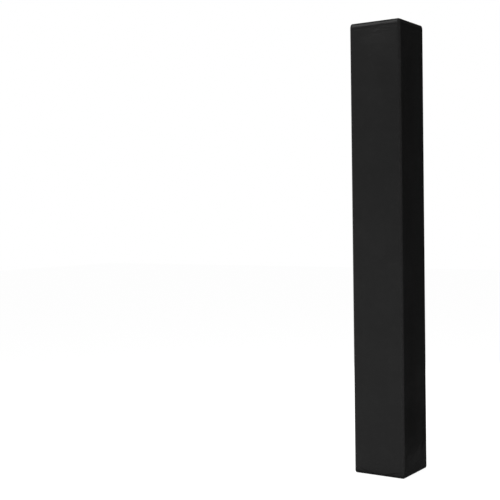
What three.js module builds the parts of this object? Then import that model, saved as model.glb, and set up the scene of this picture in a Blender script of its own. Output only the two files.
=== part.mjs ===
// Basketball pole pad for a square post. Five vinyl-covered foam boards wrap the post, fold at its
// four upright corners and close down the middle of the back with a hook-and-loop flap.
// Millimetres, +Z up. The origin is the middle of the pad's footprint, on the ground.

import * as THREE from 'three';

// The post and the room round it
const poleWidth = 127;
const poleClearance = 6.35;

// The pad and the layers of a board, from the post outwards
const padHeight = 1829;
const liningThickness = 0.8;
const foamThickness = 40;
const vinylThickness = 0.8;
const seatGap = 0.3;

// The soft form: rounded corners, rolled ends and faces that swell between them
const cornerRadius = 12;
const endRadius = 9;
const faceCrown = 1.8;
const crownFade = 120;

// The folds between boards and the closing edges at the middle of the back
const mitreGap = 0.3;
const closingGap = 1;

// The closure
const stripWidth = 50;
const stripMargin = 2;
const stripEndInset = 30;
const hookThickness = 1.2;
const loopThickness = 1.2;
const flapRamp = 8;
const flapEndInset = 12;
const flapMarginWidth = 15;

// How finely the curves are cut
const cornerSteps = 4;
const crownSteps = 10;
const rollSteps = 4;
const fadeSteps = 4;

// Distances from the post's axis
const channelHalf = poleWidth / 2 + poleClearance;
const liningOut = channelHalf + liningThickness;
const foamInner = liningOut + seatGap;
const skin = vinylThickness + seatGap;
const faceOut = foamInner + foamThickness + skin;
const arcCentre = faceOut - cornerRadius;

// How far each layer stays from the mitre plane, and the roll that the corners leave room for
const foldSetback = mitreGap / 2;
const legSetback = foldSetback + liningThickness;
const foamSetback = legSetback + seatGap;
const endRoll = Math.min(endRadius, cornerRadius - 2 * foamSetback);

// A closing edge leans back from the post's centre plane, so that it clears as its board swings out
// about the corner fold.
const foldOut = arcCentre + cornerRadius * Math.SQRT1_2;
const swingRadius = foldOut - closingGap;
const swingDepth = foldOut - channelHalf;
const closingBevel = swingRadius - Math.sqrt(swingRadius ** 2 - swingDepth ** 2);
const closingAngle = Math.atan2(closingBevel, arcCentre - channelHalf);
const closingCentre = closingGap + cornerRadius;

// The closure's layers, out from the face of the back
const loopIn = faceOut + seatGap;
const hookIn = loopIn + loopThickness + seatGap;
const flapIn = hookIn + hookThickness + seatGap;
const flapOut = flapIn + vinylThickness;
const marginOut = loopIn + vinylThickness;
const flapReach = flapRamp + stripMargin + stripWidth + stripMargin;
const flapFoldGap = seatGap / 2;

const quarterTurn = Math.PI / 2;
const eighthTurn = Math.PI / 4;

const vinyl = new THREE.MeshStandardMaterial({ color: 0x1d1d1e, roughness: 0.42, metalness: 0 });
const lining = new THREE.MeshStandardMaterial({ color: 0x17181a, roughness: 0.7, metalness: 0 });
const foam = new THREE.MeshStandardMaterial({ color: 0x3b3d40, roughness: 0.95, metalness: 0 });
const hook = new THREE.MeshStandardMaterial({ color: 0x101011, roughness: 0.8, metalness: 0 });
const loop = new THREE.MeshStandardMaterial({ color: 0x141415, roughness: 1, metalness: 0 });

// Evenly spaced shares from 0 to 1, both ends included
function shares(steps) {
  return Array.from({ length: steps + 1 }, (unused, step) => step / steps);
}

function polar(across, out, radius, angle) {
  return new THREE.Vector2(across + radius * Math.cos(angle), out + radius * Math.sin(angle));
}

function arc(across, out, radius, from, to, steps) {
  return shares(steps).map((share) => polar(across, out, radius, THREE.MathUtils.lerp(from, to, share)));
}

// Plan points are (across, out): across a board as seen from outside, and out from the post's axis.
// A mirrored ring runs the other way round, so its solid still faces outwards.
function mirrored(ring) {
  return ring.map((point) => new THREE.Vector2(-point.x, point.y)).reverse();
}

// Where the corner's curve, this far in from the face, comes within a setback of the mitre plane
function tipAngle(inset, setback) {
  return eighthTurn + Math.asin(setback / (cornerRadius - inset));
}

function cornerArc(inset, setback) {
  const last = tipAngle(inset, setback);
  return arc(arcCentre, arcCentre, cornerRadius - inset, quarterTurn, last, cornerSteps);
}

function cornerTip(inset, setback) {
  return polar(arcCentre, arcCentre, cornerRadius - inset, tipAngle(inset, setback));
}

function mitrePoint(out, setback) {
  return new THREE.Vector2(out - setback * Math.SQRT2, out);
}

// The closing edge is a rounded outer corner that runs on into the leaning face.
function closingArc(inset) {
  const radius = cornerRadius - inset;
  return arc(closingCentre, arcCentre, radius, Math.PI + closingAngle, quarterTurn, cornerSteps);
}

function closingPoint(inset, out) {
  const start = closingArc(inset)[0];
  return new THREE.Vector2(start.x + (start.y - out) * Math.tan(closingAngle), out);
}

// The raised cosine leaves the face level where the corners begin.
function crownLine(inset, swell) {
  return shares(crownSteps).slice(1, -1).map((share) => {
    const across = THREE.MathUtils.lerp(-arcCentre, arcCentre, share);
    const rise = (1 - Math.cos(2 * Math.PI * share)) / 2;
    return new THREE.Vector2(across, faceOut - inset + swell * rise);
  });
}

// Both kinds of board give their outer outline from left to right, and the points that bring it back
// along the side that faces the post.
const wholeBoard = {
  outline: (inset, setback, swell) => [
    ...mirrored(cornerArc(inset, setback)),
    ...crownLine(inset, swell),
    ...cornerArc(inset, setback),
  ],
  back: (out, setback) => [mitrePoint(out, setback), ...mirrored([mitrePoint(out, setback)])],
  liningRing: (inset) => [
    ...mirrored([cornerTip(inset, legSetback), cornerTip(inset, foldSetback)]),
    ...mirrored([mitrePoint(liningOut, legSetback)]),
    mitrePoint(liningOut, legSetback),
    cornerTip(inset, legSetback),
    cornerTip(inset, foldSetback),
    mitrePoint(channelHalf, foldSetback),
    ...mirrored([mitrePoint(channelHalf, foldSetback)]),
  ],
};

const halfBoard = {
  outline: (inset, setback, swell, out) => [
    closingPoint(inset, out),
    ...closingArc(inset),
    ...cornerArc(inset, setback),
  ],
  back: (out, setback) => [mitrePoint(out, setback)],
  liningRing: (inset) => [
    closingPoint(inset, liningOut),
    mitrePoint(liningOut, legSetback),
    cornerTip(inset, legSetback),
    cornerTip(inset, foldSetback),
    mitrePoint(channelHalf, foldSetback),
    closingPoint(inset, channelHalf),
  ],
};

// The stations up a board: each end rolls in through a quarter turn, then the face swells to its crown.
function stations() {
  const roll = shares(rollSteps).map((share) => {
    const tilt = (share - 1) * quarterTurn;
    return { tilt, inset: endRoll * (1 - Math.cos(tilt)), height: endRoll * (1 + Math.sin(tilt)), swell: 0 };
  });
  const fade = shares(fadeSteps).slice(1).map((share) => {
    const rise = Math.sin(share * quarterTurn) ** 2;
    return { tilt: 0, inset: 0, height: endRoll + crownFade * share, swell: faceCrown * rise };
  });
  const lower = [...roll, ...fade];
  const upper = lower.map((station) => (
    { ...station, tilt: -station.tilt, height: padHeight - station.height }
  ));
  return [...lower, ...upper.reverse()];
}

// A ring of plan points raised to a height. The side away from the post faces -Y.
function raised(ring, height) {
  return ring.map((point) => new THREE.Vector3(point.x, -point.y, height));
}

// A solid through rings of equally many points, closed at both ends by the same cap triangles
function loft(rings, cap) {
  const size = rings[0].length;
  const last = (rings.length - 1) * size;
  const index = [];
  rings.slice(1).forEach((unused, level) => {
    const low = level * size;
    const high = low + size;
    for (let here = 0; here < size; here += 1) {
      const next = (here + 1) % size;
      index.push(low + here, low + next, high + next);
      index.push(low + here, high + next, high + here);
    }
  });
  cap.forEach(([a, b, c]) => {
    index.push(a, c, b);
    index.push(last + a, last + b, last + c);
  });
  const geometry = new THREE.BufferGeometry().setFromPoints(rings.flat());
  geometry.setIndex(index);
  geometry.computeVertexNormals();
  return geometry;
}

function solidCap(ring) {
  return THREE.ShapeUtils.triangulateShape(planPoints(ring.map((point) => [point.x, point.y])), []);
}

// A sheet's ring runs out along one side and back along the other, so its cap is a strip between them.
function sheetCap(ring) {
  return shares(ring.length / 2 - 1).slice(1).flatMap((unused, step) => {
    const across = ring.length - 1 - step;
    return [[step, step + 1, across - 1], [step, across - 1, across]];
  });
}

function prism(ring, from, to) {
  const rings = [raised(ring, from), raised(ring, to)];
  return loft(rings, solidCap(rings[0]));
}

// Stations of the layer that lies a depth inside the pad's surface
function layerStations(depth) {
  return stations().map((station) => ({
    inset: station.inset + depth * Math.cos(station.tilt),
    height: station.height - depth * Math.sin(station.tilt),
    swell: station.swell,
  }));
}

function coverGeometry(board, turn) {
  const outer = layerStations(0);
  const inner = layerStations(vinylThickness);
  const outline = ({ inset, swell }) => board.outline(inset, foldSetback, swell, channelHalf);
  const rings = outer.map((station, level) => {
    const outside = raised(turn(outline(station)), station.height);
    const inside = raised(turn(outline(inner[level])), inner[level].height);
    return [...outside, ...inside.reverse()];
  });
  return loft(rings, sheetCap(rings[0]));
}

function foamGeometry(board, turn) {
  const rings = layerStations(skin).map(({ inset, height, swell }) => {
    const outline = board.outline(inset, foamSetback, swell, foamInner);
    return raised(turn([...outline, ...board.back(foamInner, foamSetback)]), height);
  });
  return loft(rings, solidCap(rings[0]));
}

function liningGeometry(board, turn) {
  const rings = layerStations(skin).map(({ inset, height }) => raised(turn(board.liningRing(inset)), height));
  return loft(rings, solidCap(rings[0]));
}

function endPanelGeometry(board, turn, from) {
  const outline = board.outline(endRoll + seatGap, foldSetback, 0, channelHalf);
  const ring = [...outline, ...board.back(channelHalf, foldSetback)];
  return prism(turn(ring), from, from + vinylThickness);
}

function named(name, geometry, material) {
  const mesh = new THREE.Mesh(geometry, material);
  mesh.name = name;
  return mesh;
}

// The five pieces of one board's pocket
function boardPieces(name, board, turn = (ring) => ring) {
  return [
    named(`${name}_foam`, foamGeometry(board, turn), foam),
    named(`${name}_cover`, coverGeometry(board, turn), vinyl),
    named(`${name}_lining`, liningGeometry(board, turn), lining),
    named(`${name}_top_panel`, endPanelGeometry(board, turn, padHeight - vinylThickness), vinyl),
    named(`${name}_bottom_panel`, endPanelGeometry(board, turn, 0), vinyl),
  ];
}

function planPoints(pairs) {
  return pairs.map(([across, out]) => new THREE.Vector2(across, out));
}

// A plan rectangle that runs from left to right along its outer side and back along its inner side
function rectangle(left, right, inner, outer) {
  return planPoints([[left, outer], [right, outer], [right, inner], [left, inner]]);
}

// The flap starts beside its sewn margin, climbs over the strips and lies level above them.
function flapGeometry() {
  const ring = planPoints([
    [-flapReach, flapOut], [-flapRamp, flapOut], [-flapFoldGap, marginOut],
    [-flapFoldGap, loopIn], [-flapRamp, flapIn], [-flapReach, flapIn],
  ]);
  return prism(ring, flapEndInset, padHeight - flapEndInset);
}

function closurePieces() {
  const stripRight = -flapRamp - stripMargin;
  const stripLeft = stripRight - stripWidth;
  const stripTop = padHeight - stripEndInset;
  const loopRing = rectangle(stripLeft, stripRight, loopIn, loopIn + loopThickness);
  const hookRing = rectangle(stripLeft, stripRight, hookIn, hookIn + hookThickness);
  const marginRing = rectangle(flapFoldGap, flapMarginWidth, loopIn, marginOut);
  return [
    named('closure_flap', flapGeometry(), vinyl),
    named('flap_margin', prism(marginRing, flapEndInset, padHeight - flapEndInset), vinyl),
    named('hook_strip', prism(hookRing, stripEndInset, stripTop), hook),
    named('loop_strip', prism(loopRing, stripEndInset, stripTop), loop),
  ];
}

// A wall is built facing -Y and turned about the post to the side that it guards.
function wall(turns, pieces) {
  const group = new THREE.Group();
  group.rotation.z = turns * quarterTurn;
  group.add(...pieces);
  return group;
}

const pad = new THREE.Group();
pad.add(
  wall(0, boardPieces('front', wholeBoard)),
  wall(1, boardPieces('right_side', wholeBoard)),
  wall(-1, boardPieces('left_side', wholeBoard)),
  wall(2, [
    ...boardPieces('left_back', halfBoard),
    ...boardPieces('right_back', halfBoard, mirrored),
    ...closurePieces(),
  ]),
);

// The flap stands further out than the front's crown, so the footprint's middle lies behind the post's.
pad.position.y = (faceOut + faceCrown - flapOut) / 2;

export default pad;
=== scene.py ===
import math

import bpy
import numpy as np
from mathutils import Matrix, Vector


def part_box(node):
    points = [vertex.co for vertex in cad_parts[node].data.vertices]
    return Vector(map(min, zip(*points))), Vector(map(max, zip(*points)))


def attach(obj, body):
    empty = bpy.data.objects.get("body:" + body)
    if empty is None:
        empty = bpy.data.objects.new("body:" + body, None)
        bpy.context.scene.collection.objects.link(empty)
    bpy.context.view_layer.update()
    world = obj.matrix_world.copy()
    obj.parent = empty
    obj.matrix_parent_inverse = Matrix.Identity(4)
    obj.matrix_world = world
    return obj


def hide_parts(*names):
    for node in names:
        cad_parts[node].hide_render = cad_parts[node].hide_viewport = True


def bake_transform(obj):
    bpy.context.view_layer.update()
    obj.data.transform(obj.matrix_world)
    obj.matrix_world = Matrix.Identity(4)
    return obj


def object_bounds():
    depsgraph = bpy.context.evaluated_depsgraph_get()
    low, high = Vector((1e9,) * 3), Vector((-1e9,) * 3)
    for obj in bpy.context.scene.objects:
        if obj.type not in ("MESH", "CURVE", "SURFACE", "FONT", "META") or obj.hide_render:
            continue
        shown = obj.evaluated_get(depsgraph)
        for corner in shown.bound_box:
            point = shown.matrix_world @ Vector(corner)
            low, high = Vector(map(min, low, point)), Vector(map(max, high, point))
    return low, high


# A tall square pole pad: vinyl pockets of foam that wrap a post and close down the middle of the back.
# Metres, +Z up. A wall is worked out as (across, out, up), seen from outside and measured out from the
# post's axis, and is then turned about that axis to the side that it guards.

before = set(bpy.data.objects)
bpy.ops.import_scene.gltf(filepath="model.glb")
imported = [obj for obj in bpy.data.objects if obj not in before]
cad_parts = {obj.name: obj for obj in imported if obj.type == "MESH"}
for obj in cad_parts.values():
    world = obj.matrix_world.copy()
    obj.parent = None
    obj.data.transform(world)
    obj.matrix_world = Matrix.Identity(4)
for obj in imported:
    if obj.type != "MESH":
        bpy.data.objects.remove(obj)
cadLow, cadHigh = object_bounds()

# The post's axis and the sizes that the frame gives
postY = (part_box("front_lining")[1].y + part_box("left_back_lining")[0].y) / 2
pad = {
    "height": cadHigh.z,
    "channel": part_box("right_side_lining")[0].x,  # from the post's axis to the lining
    "face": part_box("left_back_cover")[1].y - postY,  # from the post's axis to a level face
    "corner": 0.012,  # radius of the upright corners
    "top": {"roll": 0.018, "tuck": 0.009},  # height of the rolled edge, and how far it turns in
    "bottom": {"roll": 0.011, "tuck": 0.005},
    "crownFade": 0.12,  # how far from an end the face takes to swell
    "vinyl": 0.0008,
    "lining": 0.0008,
    "seat": 0.0003,  # room between two layers
    "foldRoom": 0.000001,  # how far a skin stops short of its fold
    "closingGap": 0.001,
    "edgeSteps": 6,  # points up a leaning closing edge
}
pad["crown"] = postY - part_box("front_cover")[0].y - pad["face"]
pad["arcCentre"] = pad["face"] - pad["corner"]
pad["depth"] = pad["vinyl"] + pad["seat"]  # from a skin's face down to what lies under it
# A half of the back swings about its fold, and its closing edge leans in so as to clear the middle: at the
# channel it lies back by swing - sqrt(swing^2 - (fold's distance out - channel)^2)
foldOut = pad["arcCentre"] + pad["corner"] * math.sqrt(0.5)
swing = foldOut - pad["closingGap"]
bevel = swing - math.sqrt(swing ** 2 - (foldOut - pad["channel"]) ** 2)
pad["closingLean"] = math.atan2(bevel, pad["arcCentre"] - pad["channel"])
print("frame loaded,", len(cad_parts), "nodes, pad", round(pad["height"], 3), "m tall")

boards = {
    "front": {"turns": 0, "half": False, "mirror": False, "seed": 3},
    "right_side": {"turns": 1, "half": False, "mirror": False, "seed": 14},
    "left_side": {"turns": -1, "half": False, "mirror": False, "seed": 25},
    "left_back": {"turns": 2, "half": True, "mirror": False, "seed": 36},
    "right_back": {"turns": 2, "half": True, "mirror": True, "seed": 47},
}


# camera

# Fitted to the whole outline of the pad in the photograph, with no shift
lens = {
    "place": (1.845, -3.767, 1.062),
    "heading": -33.92,  # degrees from +Y towards +X
    "pitch": -1.97,
    "roll": -0.88,
    "focal": 72.86,  # millimetres
    "sensor": 36,
    "clip": (0.05, 60),
}


def addObject(name, data):
    made = bpy.data.objects.new(name, data)
    bpy.context.scene.collection.objects.link(made)
    return made


def makeCamera():
    heading, pitch = math.radians(lens["heading"]), math.radians(lens["pitch"])
    level = math.cos(pitch)
    ahead = Vector((math.sin(heading) * level, math.cos(heading) * level, math.sin(pitch)))
    turn = ahead.to_track_quat("-Z", "Y").to_matrix() @ Matrix.Rotation(math.radians(lens["roll"]), 3, "Z")
    camera = addObject("camera", bpy.data.cameras.new("camera"))
    camera.data.sensor_width = lens["sensor"]
    camera.data.lens = lens["focal"]
    camera.data.clip_start, camera.data.clip_end = lens["clip"]
    camera.matrix_world = Matrix.Translation(lens["place"]) @ turn.to_4x4()
    bpy.context.scene.camera = camera


makeCamera()
print("camera made")


# arrays

# 3t^2 - 2t^3 of a share held between 0 and 1
def smooth(share):
    share = np.clip(share, 0, 1)
    return share * share * (3 - 2 * share)


# exp(-(distance / reach)^2)
def fade(distance, reach):
    return np.exp(-(distance / reach) ** 2)


# Random heights at whole numbers of x and y, each cell filled in by the smooth share between its corners.
# The result runs from -1 to 1.
def softNoise(x, y, seed):
    cells = 256
    heights = np.random.default_rng(seed).uniform(-1, 1, (cells, cells))
    column, row = np.floor(x).astype(int), np.floor(y).astype(int)
    across, up = smooth(x - column), smooth(y - row)

    def along(line):
        left, right = heights[line % cells, column % cells], heights[line % cells, (column + 1) % cells]
        return left * (1 - across) + right * across

    return along(row) * (1 - up) + along(row + 1) * up


# Distance travelled along a line of points, starting at 0
def travelled(points):
    return np.concatenate([[0], np.cumsum(np.linalg.norm(np.diff(points, axis=0), axis=1))])


# Arrays of different shapes spread to one shape and stacked as the parts of points
def spread(*parts):
    return np.stack(np.broadcast_arrays(*parts), -1)


# Local (across, out, up) becomes x = c across + s out, y = s across - c out, z = up, for the wall's turn
def turned(grid, board, middleY=postY):
    across = -grid[..., 0] if board["mirror"] else grid[..., 0]
    c, s = round(math.cos(board["turns"] * math.pi / 2)), round(math.sin(board["turns"] * math.pi / 2))
    x = c * across + s * grid[..., 1]
    y = s * across - c * grid[..., 1]
    return np.stack([x, y + middleY, grid[..., 2]], -1)


# Grid slopes along columns and rows; their cross product is the surface's facing
def facing(grid):
    return unit(np.cross(np.gradient(grid, axis=1), np.gradient(grid, axis=0)))


# Vectors over their lengths
def unit(vectors):
    return vectors / np.maximum(np.linalg.norm(vectors, axis=-1, keepdims=True), 1e-12)


# meshes

# Faces come as arrays of equally long rows, one array for each count of corners; the last flat of them
# are shaded flat
def makeMesh(name, points, faceSets, uv=None, flat=0):
    mesh = bpy.data.meshes.new(name)
    loops = np.concatenate([faces.ravel() for faces in faceSets])
    sizes = np.concatenate([np.full(len(faces), faces.shape[1]) for faces in faceSets])
    mesh.vertices.add(len(points))
    mesh.vertices.foreach_set("co", points.astype(np.float32).ravel())
    mesh.loops.add(len(loops))
    mesh.loops.foreach_set("vertex_index", loops.astype(np.int32))
    mesh.polygons.add(len(sizes))
    mesh.polygons.foreach_set("loop_start", np.concatenate([[0], np.cumsum(sizes)[:-1]]).astype(np.int32))
    mesh.polygons.foreach_set("use_smooth", np.arange(len(sizes)) < len(sizes) - flat)
    mesh.update(calc_edges=True)
    if uv is not None:
        layer = mesh.uv_layers.new(name="cutSize")
        layer.data.foreach_set("uv", uv[loops].astype(np.float32).ravel())
    return mesh


# The four corners of each cell of a grid, row by row
def gridQuads(rows, columns):
    corner = (np.arange(rows - 1)[:, None] * columns + np.arange(columns - 1)).ravel()
    return np.stack([corner, corner + 1, corner + columns + 1, corner + columns], 1)


# The grid's outer edge as one loop: first row, last column, last row back, first column back
def edgeLoop(rows, columns):
    index = np.arange(rows * columns).reshape(rows, columns)
    return np.concatenate([index[0, :-1], index[:-1, -1], index[-1, :0:-1], index[:0:-1, 0]])


# A closed solid between two grids of equal shape. The rim is a half circle round the edge's middle:
# middle + half cos(a) + sideways |half| round sin(a), with a from 0 at the front to pi at the back.
def solidBetween(name, front, back, uv, rimSteps=1, rimRound=0.0):
    rows, columns = front.shape[:2]
    quads, loop = gridQuads(rows, columns), edgeLoop(rows, columns)
    if np.sum(facing(front) * (front - back)) < 0:
        quads, loop = quads[:, ::-1], loop[::-1]
    sideways = np.zeros_like(front)
    for edge, inner in ((0, 1), (-1, -2)):
        sideways[edge] += unit(front[edge] - front[inner])
        sideways[:, edge] += unit(front[:, edge] - front[:, inner])
    sideways = unit(sideways).reshape(-1, 3)[loop]
    flatFront, flatBack, flatUv = front.reshape(-1, 3), back.reshape(-1, 3), uv.reshape(-1, 2)
    middle, half = (flatFront + flatBack)[loop] / 2, (flatFront - flatBack)[loop] / 2
    depth = np.linalg.norm(half, axis=1, keepdims=True) * rimRound
    rings = [loop]
    points = [flatFront, flatBack]
    count = 2 * rows * columns
    for step in range(1, rimSteps):
        angle = math.pi * step / rimSteps
        points.append(middle + half * math.cos(angle) + sideways * depth * math.sin(angle))
        rings.append(np.arange(count, count + len(loop)))
        count += len(loop)
    rings.append(loop + rows * columns)
    rims = [spread(np.roll(near, -1), near, far, np.roll(far, -1)) for near, far in zip(rings, rings[1:])]
    rims = np.concatenate(rims)
    allUv = np.concatenate([flatUv, flatUv] + [flatUv[loop]] * (rimSteps - 1))
    faces = np.concatenate([quads, quads[:, ::-1] + rows * columns, rims])
    return makeMesh(name, np.concatenate(points), [faces], allUv, 0 if rimRound else len(rims))


# Smooth shading from the grid's own facing, so that two skins meet at a fold without a line between
def shadeByFacing(mesh, outward):
    rows, columns = outward.shape[:2]
    count = len(mesh.loops)
    index = np.zeros(count, np.int32)
    mesh.loops.foreach_get("vertex_index", index)
    own = np.zeros(count * 3, np.float32)
    mesh.corner_normals.foreach_get("vector", own)
    normals = own.reshape(-1, 3).astype(float)
    face = np.repeat(np.arange(len(mesh.polygons)), 4)
    patch = (rows - 1) * (columns - 1)
    outer, inner = face < patch, (face >= patch) & (face < 2 * patch)
    normals[outer] = outward.reshape(-1, 3)[index[outer]]
    normals[inner] = -outward.reshape(-1, 3)[index[inner] - rows * columns]
    mesh.normals_split_custom_set(normals.tolist())


def placePiece(name, mesh, body, material, stands=()):
    piece = addObject(name, mesh)
    mesh.materials.append(material)
    if body:
        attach(piece, body)
    if stands:
        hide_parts(*stands)
    return piece


# The rub attribute, from 0 to 1, for the front and the back grid alike
def giveRub(mesh, rub):
    attribute = mesh.attributes.new("rub", "FLOAT", "POINT")
    values = np.zeros(len(mesh.vertices), np.float32)
    flat = np.asarray(rub, np.float32).ravel()
    values[:len(flat)] = flat
    values[len(flat):2 * len(flat)] = flat
    attribute.data.foreach_set("value", values)


# shader helpers

# Each input gets a plain value or a link from another node's socket
def feed(tree, inputs, values):
    for label, value in values.items():
        if isinstance(value, bpy.types.NodeSocket):
            tree.links.new(value, inputs[label])
        else:
            inputs[label].default_value = value


# A node with its settings and inputs, laid out in rows
def put(tree, kind, feeds=None, **settings):
    perRow, gapAcross, gapDown = 8, 190, -260
    made = tree.nodes.new("ShaderNode" + kind)
    made.location = (gapAcross * (len(tree.nodes) % perRow), gapDown * (len(tree.nodes) // perRow))
    for setting, value in settings.items():
        setattr(made, setting, value)
    feed(tree, made.inputs, feeds or {})
    return made


def calc(tree, operation, first, second=0.0, third=0.0):
    return put(tree, "Math", {0: first, 1: second, 2: third}, operation=operation).outputs[0]


# A smooth climb from 0 at low to 1 at high
def ranged(tree, value, low, high):
    feeds = {"Value": value, "From Min": low, "From Max": high}
    return put(tree, "MapRange", feeds, interpolation_type="SMOOTHSTEP").outputs["Result"]


# The mix node's inputs 6 and 7 and its output 2 are the coloured ones
def mixColour(tree, share, first, second):
    return put(tree, "Mix", {0: share, 6: first, 7: second}, data_type="RGBA").outputs[2]


def noise(tree, place, scale, detail=2.0, roughness=0.5):
    feeds = {"Vector": place, "Scale": scale, "Detail": detail, "Roughness": roughness}
    return put(tree, "TexNoise", feeds).outputs["Fac"]


def useGroup(tree, group, feeds):
    return put(tree, "Group", feeds, node_tree=group).outputs


# The place on the flat cut piece, in metres along and up it
def cutSize(tree):
    return put(tree, "UVMap", uv_map="cutSize").outputs["UV"]


# Every group takes a vector and some numbers, and gives numbers
def startGroup(name, numbers, outputs):
    tree = bpy.data.node_groups.new(name, "ShaderNodeTree")
    tree.interface.new_socket(name="Vector", in_out="INPUT", socket_type="NodeSocketVector")
    for label, value in numbers.items():
        socket = tree.interface.new_socket(name=label, in_out="INPUT", socket_type="NodeSocketFloat")
        socket.default_value = value
    for label in outputs:
        tree.interface.new_socket(name=label, in_out="OUTPUT", socket_type="NodeSocketFloat")
    return tree, tree.nodes.new("NodeGroupInput").outputs, tree.nodes.new("NodeGroupOutput").inputs


# Pebbled vinyl: rounded cells with creases between them, and a finer tooth over both. Its crease share is 0
# in the creases and 1 in the cells' middles; the vinyl paints shade into the creases with it.
def vinylGrainGroup():
    tree, given, result = startGroup("vinylGrain", {"Cells": 1100.0, "Tooth": 0.3}, ["Height", "CreaseShade"])
    bend = 0.0006  # how far noise moves the edges of the cells
    wander = put(tree, "TexNoise", {"Vector": given["Vector"], "Scale": 700.0, "Detail": 1.0}).outputs
    bent = put(tree, "VectorMath", {0: wander["Color"], 1: (bend,) * 3}, operation="MULTIPLY").outputs[0]
    moved = put(tree, "VectorMath", {0: given["Vector"], 1: bent}, operation="ADD").outputs[0]
    cells = put(tree, "TexVoronoi", {"Vector": moved, "Scale": given["Cells"]}, feature="DISTANCE_TO_EDGE")
    crease = ranged(tree, cells.outputs["Distance"], low=0.02, high=0.22)
    fine = noise(tree, given["Vector"], scale=5200.0)
    height = calc(tree, "MULTIPLY_ADD", fine, given["Tooth"], crease)
    feed(tree, result, {"Height": height, "CreaseShade": crease})
    return tree


# Plain weave from A = sin(pi u f) and B = sin(pi v f): the warp's height is (|A| + AB) / 2, the weft's is
# (|B| - AB) / 2, and the higher of them shows
def plainWeaveGroup():
    tree, given, result = startGroup("plainWeave", {"Threads": 1500.0}, ["Height", "Warp"])
    axes = put(tree, "SeparateXYZ", {0: given["Vector"]}).outputs
    beat = calc(tree, "MULTIPLY", given["Threads"], math.pi)
    warpWave = calc(tree, "SINE", calc(tree, "MULTIPLY", axes["X"], beat))
    weftWave = calc(tree, "SINE", calc(tree, "MULTIPLY", axes["Y"], beat))
    both = calc(tree, "MULTIPLY", warpWave, weftWave)
    warp = calc(tree, "ADD", calc(tree, "ABSOLUTE", warpWave), both)
    weft = calc(tree, "SUBTRACT", calc(tree, "ABSOLUTE", weftWave), both)
    height = calc(tree, "MULTIPLY", calc(tree, "MAXIMUM", warp, weft), 0.5)
    warpShows = ranged(tree, calc(tree, "SUBTRACT", warp, weft), low=-0.2, high=0.2)
    feed(tree, result, {"Height": height, "Warp": warpShows})
    return tree


# Slow change of tone over a hand's width, with a little dust that gathers in faint patches
def handledGroup():
    tree, given, result = startGroup("handled", {"Dust": 0.3}, ["Tone", "Dust"])
    tone = ranged(tree, noise(tree, given["Vector"], scale=7.0, detail=3.0, roughness=0.55), 0.3, 0.7)
    patch = noise(tree, given["Vector"], scale=38.0, detail=6.0, roughness=0.7)
    speck = noise(tree, given["Vector"], scale=900.0)
    speckled = calc(tree, "MULTIPLY", ranged(tree, patch, 0.5, 0.75), ranged(tree, speck, 0.5, 0.68))
    feed(tree, result, {"Tone": tone, "Dust": calc(tree, "MULTIPLY", speckled, given["Dust"])})
    return tree


# Rub along edges: the piece's own rub attribute, broken up by noise
def edgeRubGroup():
    tree, given, result = startGroup("edgeRub", {"Amount": 0.5}, ["Rub"])
    rub = put(tree, "Attribute", attribute_name="rub").outputs["Fac"]
    broken = noise(tree, given["Vector"], scale=160.0, detail=5.0, roughness=0.65)
    worn = calc(tree, "MULTIPLY", rub, ranged(tree, broken, low=0.42, high=0.66))
    feed(tree, result, {"Rub": calc(tree, "MULTIPLY", worn, given["Amount"])})
    return tree


vinylGrain = vinylGrainGroup()
plainWeave = plainWeaveGroup()
handled = handledGroup()
edgeRub = edgeRubGroup()


# materials

def grey(value, warm=0.0):
    return (value * (1 + warm), value, value * (1 - warm), 1.0)


# Gives the material, its tree, the place on the object, and the slow tone and the dust of use
def startMaterial(name, look):
    material = bpy.data.materials.new(name)
    material.use_nodes = True
    tree = material.node_tree
    place = put(tree, "TexCoord").outputs["Object"]
    return material, tree, place, useGroup(tree, handled, {"Vector": place, "Dust": look["dust"]})


# The pattern's height becomes a bump as strong and deep as the look says
def endMaterial(tree, look, colour, rough, height):
    bump = put(tree, "Bump", {"Height": height, "Strength": look["bump"], "Distance": look["depth"]})
    shader = tree.nodes["Principled BSDF"].inputs
    feed(tree, shader, {"Roughness": look["roughness"], "Specular IOR Level": look["specular"]})
    feed(tree, shader, {"Base Color": colour, "Roughness": rough, "Normal": bump.outputs[0]})


# The same for cloth or thread: dust over its colour, and a roughness that falls where its pattern is high
def endCloth(tree, look, colour, use, pattern, height):
    dusty = mixColour(tree, use["Dust"], colour, grey(look["dustColour"], look["dustWarm"]))
    rough = calc(tree, "MULTIPLY_ADD", pattern, look["patternGloss"], look["lowRoughness"])
    endMaterial(tree, look, dusty, rough, height)


# Satin black vinyl: painted shade in the grain's creases, slow tone, dust and rubbed edges change its colour,
# tone and rub its roughness
def vinylMaterial(name, look):
    material, tree, place, use = startMaterial(name, look)
    grain = useGroup(tree, vinylGrain, {"Vector": place, "Cells": look["cells"], "Tooth": look["tooth"]})
    rub = useGroup(tree, edgeRub, {"Vector": place, "Amount": look["rub"]})["Rub"]
    toned = mixColour(tree, use["Tone"], grey(look["dark"]), grey(look["light"]))
    # Painted shade: the grain's creases are darkened to the crease share of the dark colour
    creaseShaded = mixColour(tree, grain["CreaseShade"], grey(look["dark"] * look["crease"]), toned)
    dusty = mixColour(tree, use["Dust"], creaseShaded, grey(look["dustColour"], look["dustWarm"]))
    rubbed = mixColour(tree, rub, dusty, grey(look["rubColour"]))
    least = look["roughness"] - look["roughSpread"] / 2
    rough = calc(tree, "MULTIPLY_ADD", use["Tone"], look["roughSpread"], least)
    rough = calc(tree, "MULTIPLY_ADD", rub, look["rubRough"], rough)
    endMaterial(tree, look, rubbed, rough, grain["Height"])
    return material


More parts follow.
